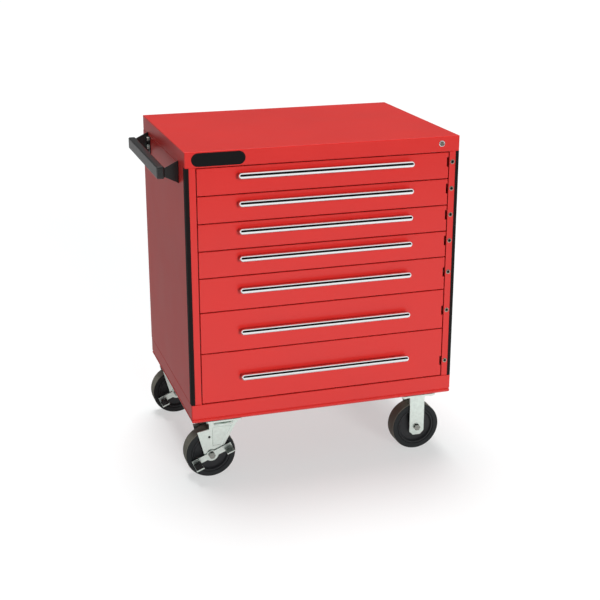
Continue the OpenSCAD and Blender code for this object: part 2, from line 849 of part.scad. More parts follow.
// A swivel fork's leg from the side: wide at the crown, a shoulder behind it, round the axle below.
module swivel_leg() {
    axle = [-trail, axle_z];
    left = [-swivel_leg_w / 2, bearing_z];
    right = [swivel_leg_w / 2, bearing_z];
    shoulder = [-shoulder_reach, bearing_z - shoulder_drop];
    neck = [left.x, shoulder.y + shoulder_rise];
    difference() {
        union() {
            polygon([
                left, right, touch_point(right, axle, leg_end_r, -1),
                axle, touch_point(shoulder, axle, leg_end_r, 1), shoulder, neck
            ]);
            translate(axle) circle(leg_end_r);
        }
        translate([left.x, axle_z + leg_hole_up]) circle(leg_hole_r);
    }
}

module swivel_fork(end) {
    color(zinc) in_frame() at_left_caster(end) difference() {
        union() {
            translate([0, 0, crown_z]) cylinder(r = swivel_leg_w / 2, h = crown_t);
            box([-swivel_leg_w / 2, -leg_out, crown_z], [swivel_leg_w / 2, leg_out, bearing_z]);
            both_ends() translate([0, -leg_in, 0]) rotate([90, 0, 0]) linear_extrude(leg_t) swivel_leg();
        }
        translate([0, 0, crown_z - crown_t]) cylinder(r = kingpin_r + running_fit, h = 3 * crown_t);
        along_y(-trail, -2 * leg_out, axle_z) cylinder(r = axle_r + running_fit, h = 4 * leg_out);
    }
}

module swivel_axle(end) {
    front = pedal_out + face_clear;
    color(zinc) in_frame() at_left_caster(end)
        along_y(-trail, -front, axle_z) bolt(axle_r, front + leg_out, axle_head_r, axle_head_t, axle_head_t);
}

// A rocker on the axle: a braking pad on one side, a releasing pad on the other.
module brake_pedal(end) {
    hub = axle_r + 10;
    low = -pedal_w / 2;
    pad_top = low + pedal_t;
    brake_front = -pedal_out - pedal_pad_d;
    release_front = -pedal_out - release_pad_d;
    color(zinc) in_frame() at_left_caster(end) translate([-trail, 0, axle_z]) rotate([0, -pedal_tilt, 0])
        difference() {
            union() {
                translate([0, -pedal_y, 0]) rotate([90, 0, 0]) cylinder(r = hub, h = pedal_t);
                box([-pedal_reach, -pedal_out, low], [release_reach, -pedal_y, pedal_w / 2]);
                box([-pedal_reach, brake_front, low], [pad_l - pedal_reach, -pedal_y, pad_top]);
                box([release_reach - pad_l, release_front, low], [release_reach, -pedal_y, pad_top]);
            }
            along_y(0, -2 * pedal_out, 0) cylinder(r = axle_r + running_fit, h = 2 * pedal_out);
        }
}

// Rigid forks: a caster plate with two straight legs, chamfered below the axle.
module rigid_forks() {
    half = rigid_leg_w / 2;
    chamfer = half / 2;
    low = axle_z - leg_end_r - caster_bolt_r;
    top = caster_plate_z + caster_plate_t / 2;
    leg = [
        [-half, top], [-half, low + chamfer], [chamfer - half, low],
        [half - chamfer, low], [half, low + chamfer], [half, top]
    ];
    color(zinc) in_frame() at_right_casters() difference() {
        union() {
            caster_plate();
            both_ends() translate([0, -leg_in, 0]) rotate([90, 0, 0]) linear_extrude(leg_t) polygon(leg);
        }
        along_y(0, -2 * leg_out, axle_z) cylinder(r = axle_r + running_fit, h = 4 * leg_out);
    }
}

module rigid_axles() {
    color(zinc) in_frame() at_right_casters()
        along_y(0, -leg_out, axle_z) bolt(axle_r, 2 * leg_out, axle_head_r, axle_head_t, axle_head_t);
}

// Bolts up through the caster plates into the channels.
module caster_bolts() {
    head_r = 1.8 * caster_bolt_r;
    color(zinc) in_frame() both_sides() at_right_casters() at_caster_bolts(caster_plate_z)
        bolt(caster_bolt_r, caster_plate_t + channel_t, head_r, caster_head_t, caster_nut_t);
}

// A solid wheel: hub, dished web and a tread with round shoulders.
module wheel(x, y) {
    bore = axle_r + running_fit;
    tread_in = axle_z - 24;
    web_w = wheel_w - 14;
    color(wheel_grey) in_frame() translate([x, y, axle_z]) rotate([90, 0, 0]) rotate_extrude() {
        translate([bore, -hub_w / 2]) square([hub_r - bore, hub_w]);
        translate([bore, -web_w / 2]) square([tread_in + tread_r - bore, web_w]);
        translate([(tread_in + axle_z) / 2, 0]) soft_rect(axle_z - tread_in, wheel_w, tread_r);
    }
}

base_frame();
caster_channels();
left_side_panel();
right_side_panel();
back_panel();
front_posts();
rear_uprights();
top_cover();
corner_bumpers();
name_plate();
lock_housing();
lock_plug();
lock_bar();
slide_channels();
latch_ferrules();
push_handle_brackets();
push_handle_grip();
push_handle_bolts();
swivel_plates();
swivel_fork(-1);  // front_swivel_fork
swivel_fork(1);  // rear_swivel_fork
swivel_axle(-1);  // front_swivel_axle
swivel_axle(1);  // rear_swivel_axle
brake_pedal(-1);  // front_brake_pedal
brake_pedal(1);  // rear_brake_pedal
rigid_forks();
rigid_axles();
caster_bolts();
wheel(-caster_x - trail, -caster_y);  // front_left_wheel
wheel(-caster_x - trail, caster_y);  // rear_left_wheel
wheel(caster_x, -caster_y);  // front_right_wheel
wheel(caster_x, caster_y);  // rear_right_wheel
for (n = drawers) drawer(n);
for (n = drawers) drawer_slides(n);
for (n = drawers) drawer_pull(n);
for (n = drawers) latch_button(n);
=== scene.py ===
import json
import math

import bmesh
import bpy
from mathutils import Matrix, Vector

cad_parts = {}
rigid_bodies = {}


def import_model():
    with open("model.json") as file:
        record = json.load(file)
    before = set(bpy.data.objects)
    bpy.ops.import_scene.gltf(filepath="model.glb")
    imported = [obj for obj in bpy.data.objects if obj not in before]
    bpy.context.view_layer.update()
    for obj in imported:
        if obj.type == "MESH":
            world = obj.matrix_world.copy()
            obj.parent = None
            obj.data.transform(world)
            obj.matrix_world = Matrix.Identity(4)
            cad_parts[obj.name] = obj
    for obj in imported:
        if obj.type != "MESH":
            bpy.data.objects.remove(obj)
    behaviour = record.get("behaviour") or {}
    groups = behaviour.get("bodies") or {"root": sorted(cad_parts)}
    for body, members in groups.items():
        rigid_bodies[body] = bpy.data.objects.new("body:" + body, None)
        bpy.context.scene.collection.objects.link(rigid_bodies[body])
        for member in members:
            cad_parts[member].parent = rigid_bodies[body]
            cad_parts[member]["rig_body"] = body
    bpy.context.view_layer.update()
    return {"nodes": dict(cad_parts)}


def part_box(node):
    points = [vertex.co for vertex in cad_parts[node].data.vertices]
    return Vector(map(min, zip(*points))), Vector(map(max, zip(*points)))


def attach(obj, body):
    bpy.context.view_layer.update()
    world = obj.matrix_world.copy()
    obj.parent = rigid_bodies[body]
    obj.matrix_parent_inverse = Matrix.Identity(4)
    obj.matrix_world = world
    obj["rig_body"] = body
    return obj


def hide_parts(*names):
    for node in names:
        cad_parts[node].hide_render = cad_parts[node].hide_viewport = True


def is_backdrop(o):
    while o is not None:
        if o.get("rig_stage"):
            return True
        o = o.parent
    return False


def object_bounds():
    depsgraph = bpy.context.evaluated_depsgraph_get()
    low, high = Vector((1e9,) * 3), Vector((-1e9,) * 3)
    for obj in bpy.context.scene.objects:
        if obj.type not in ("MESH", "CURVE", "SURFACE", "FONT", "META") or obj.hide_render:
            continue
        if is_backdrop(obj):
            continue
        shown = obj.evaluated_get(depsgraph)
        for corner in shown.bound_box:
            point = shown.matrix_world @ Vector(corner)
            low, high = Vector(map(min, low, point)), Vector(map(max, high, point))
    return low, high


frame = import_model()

scene = bpy.context.scene
scene.view_settings.view_transform = "Standard"

# Camera: a short telephoto view from the front left, a little above the cabinet's top.
# It aims down at the cabinet without any lens shift.
photo_lens = bpy.data.cameras.new("photo_lens")
photo_lens.lens = 74.32
photo_lens.sensor_width = 36.0
photo_camera = bpy.data.objects.new("photo_camera", photo_lens)
photo_camera.location = (-1.132, -3.748, 1.785)
photo_camera.rotation_euler = (math.radians(71.40), 0.0, math.radians(-17.45))
scene.collection.objects.link(photo_camera)
scene.camera = photo_camera

# Studio: soft lamps in front, overhead and behind, over a pale paper floor.
# The surround is white to the lens and in bright metal, and dimmer as a light.
for name, toward, strength, spread in (
    ("front_lamp", (0.14, -0.97, 0.20), 2.20, 20.0),
    ("top_lamp", (0.02, 0.26, 1.00), 2.80, 28.0),
    ("back_lamp", (0.20, 0.95, 0.20), 0.60, 45.0),
):
    lamp = bpy.data.lights.new(name, "SUN")
    lamp.energy = strength
    lamp.angle = math.radians(spread)
    lamp_stand = bpy.data.objects.new(name, lamp)
    lamp_stand.rotation_euler = Vector(toward).to_track_quat("Z", "Y").to_euler()
    lamp_stand.visible_glossy = False
    scene.collection.objects.link(lamp_stand)


def empty_tree(owner):
    owner.use_nodes = True
    owner.node_tree.nodes.clear()
    return owner.node_tree.nodes.new, owner.node_tree.links.new


def seen_rays(put, join):
    ray = put("ShaderNodeLightPath")
    first, both = put("ShaderNodeMath"), put("ShaderNodeMath")
    first.operation = both.operation = "MAXIMUM"
    join(ray.outputs["Is Camera Ray"], first.inputs[0])
    join(ray.outputs["Is Glossy Ray"], first.inputs[1])
    join(first.outputs[0], both.inputs[0])
    join(ray.outputs["Is Transmission Ray"], both.inputs[1])
    return both.outputs[0]


pure_white, fill_level = (1.0, 1.0, 1.0, 1.0), 0.22
surround = bpy.data.worlds.new("surround")
scene.world = surround
put, join = empty_tree(surround)
fill, white = put("ShaderNodeBackground"), put("ShaderNodeBackground")
fill.inputs["Color"].default_value = pure_white
fill.inputs["Strength"].default_value = fill_level
white.inputs["Color"].default_value = pure_white
choose, sky = put("ShaderNodeMixShader"), put("ShaderNodeOutputWorld")
join(seen_rays(put, join), choose.inputs[0])
join(fill.outputs[0], choose.inputs[1])
join(white.outputs[0], choose.inputs[2])
join(choose.outputs[0], sky.inputs["Surface"])


def placed(bm, name):
    mesh = bpy.data.meshes.new(name)
    bm.to_mesh(mesh)
    bm.free()
    thing = bpy.data.objects.new(name, mesh)
    scene.collection.objects.link(thing)
    return thing


floor_half, paper_grey, paper_lift = 40.0, (0.435, 0.45, 0.45, 1.0), 0.50
bm = bmesh.new()
bmesh.ops.create_grid(bm, x_segments=1, y_segments=1, size=floor_half)
paper_floor = placed(bm, "paper_floor")
paper = bpy.data.materials.new("paper")
put, join = empty_tree(paper)
matte, lift = put("ShaderNodeBsdfDiffuse"), put("ShaderNodeEmission")
matte.inputs["Color"].default_value = paper_grey
lift_level = put("ShaderNodeMath")
lift_level.operation = "MULTIPLY"
lift_level.inputs[1].default_value = paper_lift
both, sheet_end = put("ShaderNodeAddShader"), put("ShaderNodeOutputMaterial")
join(seen_rays(put, join), lift_level.inputs[0])
join(lift_level.outputs[0], lift.inputs["Strength"])
join(matte.outputs[0], both.inputs[0])
join(lift.outputs[0], both.inputs[1])
join(both.outputs[0], sheet_end.inputs["Surface"])
paper_floor.data.materials.append(paper)
paper_floor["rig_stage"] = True


# Painted reflections: a black board in front and grey cards behind and to the left, which only gloss
# sees.
# They glow a little, cast no shadow and light nothing; they paint the chrome's dark band and keep the
# paint's sheen down.
def painted_reflection(name, tone, corner, across, up):
    corner, across, up = Vector(corner), Vector(across), Vector(up)
    bm = bmesh.new()
    bm.faces.new([bm.verts.new(corner + step) for step in (Vector(), across, across + up, up)])
    card = placed(bm, name)
    paint = bpy.data.materials.new(name)
    put, join = empty_tree(paint)
    glow, end = put("ShaderNodeEmission"), put("ShaderNodeOutputMaterial")
    glow.inputs["Strength"].default_value = tone
    join(glow.outputs[0], end.inputs["Surface"])
    card.data.materials.append(paint)
    card.visible_camera = card.visible_diffuse = False
    card.visible_transmission = card.visible_shadow = False
    card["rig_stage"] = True


# Painted reflections: black for the front and the floor before it, grey behind and to the left.
painted_reflection("front_flag", tone=0.01, corner=(-12, -8, 0.004), across=(26, 0, 0), up=(0, 0, 14.5))
painted_reflection("front_painted_reflection_sheet", tone=0.01, corner=(-12, -8, 0.004), across=(26, 0, 0), up=(0, 3.8, 0))
painted_reflection("back_flag", tone=0.10, corner=(-10, 9, 0.1), across=(24, 0, 0), up=(0, 0, 8))
painted_reflection("left_flag", tone=0.30, corner=(-10, -0.6, 0.004), across=(9.57, 0, 0), up=(0, 9.5, 0))


# Base: a folded steel pan under the whole cabinet, with a rolled lower edge and lips, sprayed red.
# A bead is pressed above the roll, and a fine groove marks the seam with the panels.
# Two channels welded across it take the caster bolts.
def linear(red, green, blue):
    shares = [value / 255 for value in (red, green, blue)]
    levels = [((s + 0.055) / 1.055) ** 2.4 if s > 0.04045 else s / 12.92 for s in shares]
    return levels + [1.0]


def surface_grain():
    tree = bpy.data.node_groups.new("surface_grain", "ShaderNodeTree")
    wanted = (
        ("Colour", "Color"), ("Mottle", "Float"), ("Mottle Scale", "Float"),
        ("Roughness", "Float"), ("Roughness Spread", "Float"), ("Grain Scale", "Float"),
    )
    for label, kind in wanted:
        tree.interface.new_socket(name=label, in_out="INPUT", socket_type="NodeSocket" + kind)
    for label, kind in (("Colour", "Color"), ("Roughness", "Float"), ("Height", "Float")):
        tree.interface.new_socket(name=label, in_out="OUTPUT", socket_type="NodeSocket" + kind)
    put, join = tree.nodes.new, tree.links.new
    given, result, place = put("NodeGroupInput"), put("NodeGroupOutput"), put("ShaderNodeTexCoord")
    broad, fine = put("ShaderNodeTexNoise"), put("ShaderNodeTexNoise")
    broad.inputs["Detail"].default_value = 4.0
    fine.inputs["Detail"].default_value = 1.5
    join(place.outputs["Object"], broad.inputs["Vector"])
    join(place.outputs["Object"], fine.inputs["Vector"])
    join(given.outputs["Mottle Scale"], broad.inputs["Scale"])
    join(given.outputs["Grain Scale"], fine.inputs["Scale"])
    swing = put("ShaderNodeMath")
    swing.operation = "SUBTRACT"
    swing.inputs[1].default_value = 0.5
    join(broad.outputs[0], swing.inputs[0])
    tone = put("ShaderNodeMath")
    tone.operation = "MULTIPLY_ADD"
    tone.inputs[2].default_value = 1.0
    join(swing.outputs[0], tone.inputs[0])
    join(given.outputs["Mottle"], tone.inputs[1])
    tint = put("ShaderNodeVectorMath")
    tint.operation = "SCALE"
    join(given.outputs["Colour"], tint.inputs[0])
    join(tone.outputs[0], tint.inputs["Scale"])
    gloss = put("ShaderNodeMath")
    gloss.operation = "MULTIPLY_ADD"
    join(swing.outputs[0], gloss.inputs[0])
    join(given.outputs["Roughness Spread"], gloss.inputs[1])
    join(given.outputs["Roughness"], gloss.inputs[2])
    join(tint.outputs["Vector"], result.inputs["Colour"])
    join(gloss.outputs[0], result.inputs["Roughness"])
    join(fine.outputs[0], result.inputs["Height"])
    return tree


grain = surface_grain()


def finish(name, colour, mottle, mottle_scale, roughness, spread, grain_scale, relief, depth, plain=()):
    material = bpy.data.materials.new(name)
    material.use_nodes = True
    put, join = material.node_tree.nodes.new, material.node_tree.links.new
    shader = material.node_tree.nodes["Principled BSDF"]
    for socket, value in plain:
        shader.inputs[socket].default_value = value
    skin = put("ShaderNodeGroup")
    skin.node_tree = grain
    for socket, value in (
        ("Colour", colour), ("Mottle", mottle), ("Mottle Scale", mottle_scale),
        ("Roughness", roughness), ("Roughness Spread", spread), ("Grain Scale", grain_scale),
    ):
        skin.inputs[socket].default_value = value
    bump = put("ShaderNodeBump")
    bump.inputs["Strength"].default_value = relief
    bump.inputs["Distance"].default_value = depth
    join(skin.outputs["Colour"], shader.inputs["Base Color"])
    join(skin.outputs["Roughness"], shader.inputs["Roughness"])
    join(skin.outputs["Height"], bump.inputs["Height"])
    join(bump.outputs["Normal"], shader.inputs["Normal"])
    return material


red_enamel = finish(
    "red_enamel", linear(212, 46, 42), mottle=0.10, mottle_scale=6.0, roughness=0.30, spread=0.10,
    grain_scale=420.0, relief=0.05, depth=0.0004,
)
low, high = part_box("base_frame")
carcass_middle = (low + high) / 2
weld, on_level, skin_band = 0.00001, 0.00002, 0.006
flat_fold, sharp_fold, smooth_fold = math.radians(0.5), math.radians(35), math.radians(38)


def cut(bm, faces, point, normal):
    parts = {part for face in faces for part in (face, *face.edges, *face.verts)}
    bmesh.ops.bisect_plane(bm, geom=list(parts), dist=weld, plane_co=point, plane_no=normal)


def groove(bm, level, half, depth):
    for z in (level - half, level, level + half):
        cut(bm, bm.faces, (0, 0, z), (0, 0, 1))
    ring = [v for v in bm.verts if abs(v.co.z - level) < on_level]
    for axis in (0, 1):
        centre = carcass_middle[axis]
        reach = max(abs(v.co[axis] - centre) for v in bm.verts) - skin_band
        for side in (-1, 1):
            inward = Vector((0, 0, 0))
            inward[axis] = -side * depth
            outer = [v for v in ring if side * (v.co[axis] - centre) > reach]
            bmesh.ops.translate(bm, verts=outer, vec=inward)


def pressed_copy(node, *grooves):
    bm = bmesh.new()
    bm.from_mesh(frame["nodes"][node].data)
    bmesh.ops.remove_doubles(bm, verts=bm.verts, dist=weld)
    for level, half, depth in grooves:
        groove(bm, level, half, depth)
    bmesh.ops.dissolve_limit(bm, angle_limit=flat_fold, verts=bm.verts, edges=bm.edges)
    return bm


def sharp_edges(bm, shortest=0.0):
    folds = [e for e in bm.edges if e.is_manifold and e.calc_face_angle() > sharp_fold]
    return [e for e in folds if e.calc_length() > shortest]


def ease(bm, edges, radius, steps):
    bmesh.ops.bevel(
        bm, geom=edges, offset=radius, offset_type="OFFSET", segments=steps, profile=0.5,
        affect="EDGES", clamp_overlap=True, material=-1,
    )


def eased_copy(node, radius, steps=2, shortest=0.0):
    bm = pressed_copy(node)
    ease(bm, sharp_edges(bm, shortest), radius, steps)
    return bm


def set_down(bm, name, material, body, slot, *nodes):
    for face in bm.faces:
        face.smooth = True
    for edge in bm.edges:
        edge.smooth = not edge.is_manifold or edge.calc_face_angle() < smooth_fold
    piece = placed(bm, name)
    piece.data.materials.append(material)
    even = piece.modifiers.new("even_faces", "WEIGHTED_NORMAL")
    even.keep_sharp = True
    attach(piece, body)
    if nodes:
        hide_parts(*nodes)
    return piece


seam_half, seam_depth = 0.0014, 0.0012
bead_rise, bead_half, bead_depth = 0.0135, 0.0030, 0.0026
roll_bead = (low.z + bead_rise, bead_half, bead_depth)
deck_seam = (high.z, seam_half, seam_depth)
rim_seam = (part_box("top_cover")[0].z, seam_half, seam_depth)
bm = pressed_copy("base_frame", roll_bead, deck_seam)
set_down(bm, "base_pan", red_enamel, "cabinet", "red_paint", "base_frame")
bm = eased_copy("caster_channels", radius=0.001, shortest=0.1)
set_down(bm, "base_channels", red_enamel, "cabinet", "red_paint", "caster_channels")

# Caster plates: thick pressed steel, zinc plated, with the swivel race and kingpin on the left pair.
# Each is held up to the base by four bolts.
bare_metal = (("Metallic", 1.0),)
zinc_plate = finish(
    "zinc_plate", linear(224, 234, 227), mottle=0.42, mottle_scale=70.0, roughness=0.33, spread=0.25,
    grain_scale=900.0, relief=0.08, depth=0.0002, plain=bare_metal,
)
bm = eased_copy("swivel_plates", radius=0.0008)
set_down(bm, "swivel_plates_pressed", zinc_plate, "cabinet", "zinc", "swivel_plates")
bm = eased_copy("caster_bolts", radius=0.0006)
set_down(bm, "caster_bolts_hex", zinc_plate, "cabinet", "zinc", "caster_bolts")

# Forks: folded from heavy strip and zinc plated. The left pair turn on their kingpins, and a sunk panel
# pressed into each of their legs stiffens it.
# The right pair are welded to their plates and end in a chamfer below the axle.
bolt_steel = finish(
    "bolt_steel", linear(150, 152, 146), mottle=0.3, mottle_scale=120.0, roughness=0.28, spread=0.2,
    grain_scale=900.0, relief=0.08, depth=0.0002, plain=bare_metal,
)
strip_round, axle_round = 0.0014, 0.0008
below_crown, near_face = 0.098, 0.0001
panel_front, panel_back, panel_foot, panel_top = 0.004, 0.015, 0.028, 0.092
panel_slope, panel_wall, panel_depth = math.radians(60.2), 0.0020, -0.0022
panel_sides = (
    (Vector((panel_front, 0, 0)), Vector((1, 0, 0))),
    (Vector((0, 0, panel_top)), Vector((0, 0, -1))),
    (Vector((0, 0, panel_foot)), Vector((0, 0, 1))),
    (Vector((panel_back, 0, 0)), Vector((-math.sin(panel_slope), 0, math.cos(panel_slope)))),
)


def leg_faces(bm, axle):
    spots = [(f, f.calc_center_median() - axle) for f in bm.faces if abs(f.normal.y) > 0.99]
    spots = [(f, abs(spot.y)) for f, spot in spots if spot.z < below_crown]
    reach = max(out for f, out in spots) - near_face
    return [f for f, out in spots if out > reach]


def in_panel(face, axle):
    spot = face.calc_center_median() - axle
    return all((spot - point).dot(normal) > 0 for point, normal in panel_sides)


for end in ("front", "rear"):
    low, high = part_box(end + "_left_wheel")
    axle = (low + high) / 2
    bm = pressed_copy(end + "_swivel_fork")
    for point, normal in panel_sides:
        cut(bm, leg_faces(bm, axle), axle + point, normal)
    panel = [f for f in leg_faces(bm, axle) if in_panel(f, axle)]
    bmesh.ops.inset_region(
        bm, faces=panel, thickness=panel_wall, depth=panel_depth, use_even_offset=True,
    )
    ease(bm, sharp_edges(bm), strip_round, steps=3)
    set_down(bm, end + "_fork_pressed", zinc_plate, end + "_swivel", "zinc", end + "_swivel_fork")
    bm = eased_copy(end + "_swivel_axle", axle_round)
    set_down(bm, end + "_axle_bolt", bolt_steel, end + "_swivel", "zinc", end + "_swivel_axle")
bm = eased_copy("rigid_forks", strip_round, steps=3)
set_down(bm, "rigid_forks_pressed", zinc_plate, "cabinet", "zinc", "rigid_forks")
bm = eased_copy("rigid_axles", axle_round)
set_down(bm, "rigid_axle_bolts", bolt_steel, "cabinet", "zinc", "rigid_axles")

# Wheels: a dished iron core with a hub, and a hard rubber tyre moulded round it.
# The tyre has a flat tread with round shoulders and a groove where it meets the core.
# The half profile is in millimetres, as radius and distance from the wheel's middle.
tyre_side = finish(
    "tyre_side", linear(34, 36, 37), mottle=0.35, mottle_scale=30.0, roughness=0.6, spread=0.2,
    grain_scale=700.0, relief=0.25, depth=0.0005, plain=(("Specular IOR Level", 0.3),),
)
tread_grey = finish(
    "tread_grey", linear(112, 110, 100), mottle=0.45, mottle_scale=24.0, roughness=0.75, spread=0.2,
    grain_scale=500.0, relief=0.4, depth=0.0008,
)
core_black = finish(
    "core_black", linear(28, 29, 31), mottle=0.3, mottle_scale=40.0, roughness=0.5, spread=0.2,
    grain_scale=800.0, relief=0.15, depth=0.0004,
)
mm = 0.001


def in_metres(profile):
    return [(radius * mm, along * mm) for radius, along in profile]


def turned(bm, centre, profile, steps, ring=False):
    axis, out = Vector((0, 1, 0)), Vector((1, 0, 0))
    points = [bm.verts.new(centre + out * radius + axis * along) for radius, along in profile]
    lines = [bm.edges.new(pair) for pair in zip(points, points[1:])]
    if ring:
        lines.append(bm.edges.new((points[-1], points[0])))
    bmesh.ops.spin(
        bm, geom=points + lines, cent=centre, axis=axis, dvec=(0, 0, 0), angle=2 * math.pi,
        steps=steps, use_merge=True, use_normal_flip=False, use_duplicate=False,
    )
    bmesh.ops.remove_doubles(bm, verts=bm.verts, dist=0.000001)
    bmesh.ops.recalc_face_normals(bm, faces=bm.faces)


wheel_half = [
    (6.6, 28.4), (20.6, 28.4), (22.0, 27.0), (22.0, 20.5), (22.6, 18.2), (25.0, 16.8),
    (50.0, 15.6), (53.0, 16.6), (54.6, 19.0), (55.6, 22.6), (57.0, 24.0), (60.2, 24.0),
    (61.0, 23.2), (61.6, 22.2), (62.4, 22.2), (63.0, 23.6), (64.2, 25.0), (74.5, 25.0),
]
shoulder_out, shoulder_along, shoulder_round = 76.0, 21.0, 4.0
for turn in [math.radians(90 - 15 * step) for step in range(7)]:
    wheel_half.append((
        shoulder_out + shoulder_round * math.cos(turn), shoulder_along + shoulder_round * math.sin(turn),
    ))
wheel_whole = in_metres(wheel_half + [(radius, -along) for radius, along in reversed(wheel_half)])
tyre_from, tread_from = 0.0612, 0.0785
for node in ("front_left_wheel", "rear_left_wheel", "front_right_wheel", "rear_right_wheel"):
    low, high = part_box(node)
    hub = (low + high) / 2
    bm = bmesh.new()
    turned(bm, hub, wheel_whole, steps=96, ring=True)
    for face in bm.faces:
        spot = face.calc_center_median() - hub
        reach = math.hypot(spot.x, spot.z)
        face.material_index = 1 if reach > tread_from else (0 if reach > tyre_from else 2)
    wheel = set_down(bm, node + "_tyred", tyre_side, node, "wheel_rubber", node)
    wheel.data.materials.append(tread_grey)
    wheel.data.materials.append(core_black)

# Brake pedals: a steel rocker on each swivel axle, with a ribbed rubber pad on the braking end.
# Pressed down, it holds the wheel; the other end lets it go.
# The pad's corners are measured from the axle, before it is tilted with the pedal.
pad_black = finish(
    "pad_black", linear(30, 30, 31), mottle=0.3, mottle_scale=60.0, roughness=0.6, spread=0.15,
    grain_scale=900.0, relief=0.3, depth=0.0004,
)
pad_low, pad_high = (-0.0645, -0.0760, -0.0060), (-0.0415, -0.0390, -0.0042)
rib_count, rib_start, rib_pitch, rib_width = 4, -0.0625, 0.0054, 0.0026
rib_near, rib_far, rib_foot, rib_top = -0.0745, -0.0405, -0.0044, -0.0032
pad_tilt = Matrix.Rotation(math.radians(-22), 3, "Y")


def block(bm, low, high):
    corners = bmesh.ops.create_cube(bm, size=1.0)["verts"]
    bmesh.ops.scale(bm, vec=Vector(high) - Vector(low), verts=corners)
    bmesh.ops.translate(bm, vec=(Vector(high) + Vector(low)) / 2, verts=corners)


for end in ("front", "rear"):
    bm = eased_copy(end + "_brake_pedal", radius=0.001, steps=3)
    set_down(bm, end + "_pedal_pressed", zinc_plate, end + "_brake", "zinc", end + "_brake_pedal")
    low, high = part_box(end + "_left_wheel")
    axle = (low + high) / 2
    bm = bmesh.new()
    block(bm, pad_low, pad_high)
    for rib in range(rib_count):
        x = rib_start + rib_pitch * rib
        block(bm, (x, rib_near, rib_foot), (x + rib_width, rib_far, rib_top))
    ease(bm, sharp_edges(bm), radius=0.0004, steps=2)
    bmesh.ops.rotate(bm, cent=(0, 0, 0), matrix=pad_tilt, verts=bm.verts)
    bmesh.ops.translate(bm, vec=axle, verts=bm.verts)
    set_down(bm, end + "_pedal_pad", pad_black, end + "_brake", "black_rubber")

# Carcass: side and back sheets with folded flanges, hollow front posts and rear uprights.
# All are sprayed red and welded to the base.
for node in ("left_side_panel", "right_side_panel", "back_panel", "front_posts", "rear_uprights"):
    bm = pressed_copy(node, deck_seam, rim_seam)
    set_down(bm, node + "_folded", red_enamel, "cabinet", "red_paint", node)

# Corner bumpers: black rubber strips pushed into the rebates of the front posts.
# They run from the base to the rim and turn the corner.
bumper_rubber = finish(
    "bumper_rubber", linear(20, 17, 17), mottle=0.25, mottle_scale=35.0, roughness=0.6, spread=0.15,
    grain_scale=800.0, relief=0.2, depth=0.0004, plain=(("Specular IOR Level", 0.2),),
)
bm = eased_copy("corner_bumpers", radius=0.0008, shortest=0.3)
set_down(bm, "corner_bumpers_moulded", bumper_rubber, "cabinet", "black_rubber", "corner_bumpers")

# Top cover: a steel cap folded down on all four sides, with round edges and a lip turned in below.
# It is sprayed red like the rest and sits on the panels and posts.
bm = pressed_copy("top_cover", rim_seam)
set_down(bm, "top_cap", red_enamel, "cabinet", "red_paint", "top_cover")

# Name plate: a plain black plate with round ends and a raised border, fixed to the front of the rim.
# It is moulded in satin plastic and carries nothing.
satin_black = finish(
    "satin_black", linear(17, 17, 18), mottle=0.25, mottle_scale=45.0, roughness=0.36, spread=0.12,
    grain_scale=1400.0, relief=0.12, depth=0.0002, plain=(("Specular IOR Level", 0.2),),
)
border_width, border_step = 0.0022, 0.0005
plate_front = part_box("name_plate")[0].y + 0.0001
bm = pressed_copy("name_plate")
front = [f for f in bm.faces if f.normal.y < -0.99]
for width, depth in ((border_width, 0.0), (border_step, -border_step)):
    bmesh.ops.inset_region(bm, faces=front, thickness=width, depth=depth, use_even_offset=True)
rim = [e for e in sharp_edges(bm) if max(v.co.y for v in e.verts) < plate_front]
ease(bm, rim, radius=0.0004, steps=2)
set_down(bm, "name_plate_moulded", satin_black, "cabinet", "black_plastic", "name_plate")

# Lock: a chromed sleeve through the rim, clamped by a nut behind, with a turning plug for the key.
# The plug's crank lifts a flat bar that runs down inside the right post.
# The sleeve and its half-round ring are in millimetres.
chrome_bright = finish(
    "chrome_bright", linear(232, 234, 235), mottle=0.06, mottle_scale=18.0, roughness=0.07, spread=0.05,
    grain_scale=500.0, relief=0.01, depth=0.0002, plain=bare_metal,
)
nickel = finish(
    "nickel", linear(178, 168, 154), mottle=0.25, mottle_scale=90.0, roughness=0.36, spread=0.2,
    grain_scale=900.0, relief=0.05, depth=0.0002, plain=bare_metal,
)
bore_r, sleeve_r, sleeve_l = 6.05, 8.0, 26.0
ring_mid, ring_half, ring_rise = 8.02, 1.97, 2.5
low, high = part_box("lock_housing")
lock_front = Vector(((low.x + high.x) / 2, low.y + ring_rise * mm, (low.z + high.z) / 2))
bezel = [(bore_r, sleeve_l)]
for turn in [math.radians(angle) for angle in range(0, 181, 15)]:
    bezel.append((ring_mid - ring_half * math.cos(turn), -ring_rise * math.sin(turn)))
bezel += [(sleeve_r, 0.0), (sleeve_r, sleeve_l)]
bm = bmesh.new()
turned(bm, lock_front, in_metres(bezel), steps=48, ring=True)
set_down(bm, "lock_bezel", chrome_bright, "cabinet", "chrome", "lock_housing")
bm = eased_copy("lock_plug", radius=0.0003)
set_down(bm, "lock_plug_turned", nickel, "lock_plug", "chrome", "lock_plug")
bm = eased_copy("lock_bar", radius=0.0004)
set_down(bm, "lock_bar_flat", zinc_plate, "lock_bar", "zinc", "lock_bar")

